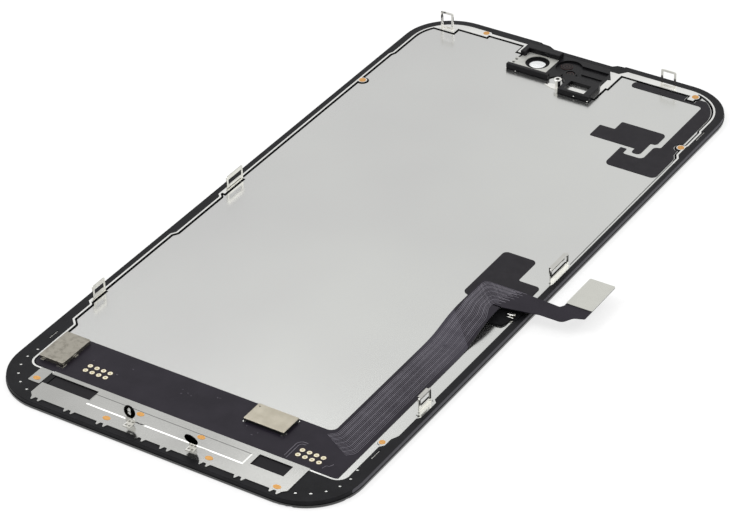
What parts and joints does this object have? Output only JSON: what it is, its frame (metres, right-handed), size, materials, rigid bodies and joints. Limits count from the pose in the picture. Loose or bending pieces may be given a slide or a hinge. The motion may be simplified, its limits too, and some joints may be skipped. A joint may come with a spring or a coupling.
{
  "type": "phone lcd screen assembly",
  "caption": "Phone display assembly: cover glass with black bezel frame, steel back plate, flex cable with board connector and a camera bracket.",
  "frame": {"origin": "centre of the front face of the cover glass, in its outer surface", "axes": "+Z from the front glass out of the back of the display, +Y towards the earpiece end, +X to the right as seen from the back"},
  "size_m": [0.0854, 0.1578, 0.0058],
  "materials": {
    "cover_glass": "polished black-backed cover glass",
    "clear_adhesive": "clear optical adhesive",
    "panel_film": "dark panel film",
    "cushion_film": "black foam film",
    "plate_steel": "satin polished steel sheet",
    "bezel_plastic": "fine matt black moulding",
    "insert_steel": "satin steel strip",
    "bracket_steel": "satin stamped steel",
    "contact_gold": "thin gold plating",
    "flex_film": "black coverlay film over copper tracks",
    "black_tape": "matt black film tape",
    "black_foam": "black foam",
    "chip_black": "black moulded package",
    "can_steel": "drawn nickel silver can",
    "lid_steel": "light nickel lid",
    "solder": "tinned solder",
    "stiffener_steel": "thin steel stiffener",
    "connector_plastic": "black connector moulding",
    "sensor_moulding": "black glass-filled moulding",
    "sensor_glass": "dark coated lens",
    "rubber_seal": "black rubber",
    "clip_steel": "bright spring steel"
  },
  "bodies": {
    "root": {"cover_glass": "cover_glass", "optical_adhesive": "clear_adhesive", "display_panel": "panel_film", "cushion_film": "cushion_film", "back_plate": "plate_steel", "bezel_frame": "bezel_plastic", "frame_insert": "insert_steel", "corner_strips": "insert_steel", "ring_ground_pads": "contact_gold", "bottom_bracket": "bracket_steel", "bracket_ground_pads": "contact_gold", "chin_tab": "bracket_steel", "tab_ground_pad": "contact_gold", "panel_driver": "chip_black", "display_flex": "flex_film", "connector_stiffener": "stiffener_steel", "board_connector": "connector_plastic", "connector_contacts": "contact_gold", "flex_tape": "black_tape", "tail_pad": "black_foam", "pad_contacts": "clip_steel", "shield_can": "can_steel", "power_chip": "chip_black", "can_solder_tabs": "solder", "touch_chip": "chip_black", "touch_chip_lid": "lid_steel", "touch_solder_tabs": "solder", "test_pads_left": "contact_gold", "test_pads_right": "contact_gold", "corner_tape": "black_tape", "inner_tape": "black_tape", "sensor_bracket": "sensor_moulding", "sensor_lens": "sensor_glass", "sensor_window": "sensor_glass", "camera_plate": "insert_steel", "camera_seal": "rubber_seal", "window_plate": "insert_steel", "screw_post": "clip_steel", "clip_top_left": "clip_steel", "clip_top_right": "clip_steel", "clip_left_upper": "clip_steel", "clip_left_lower": "clip_steel", "clip_right_upper": "clip_steel", "clip_right_lower": "clip_steel", "contact_spring_left": "clip_steel", "contact_spring_right": "clip_steel"}
  },
  "joints": []
}
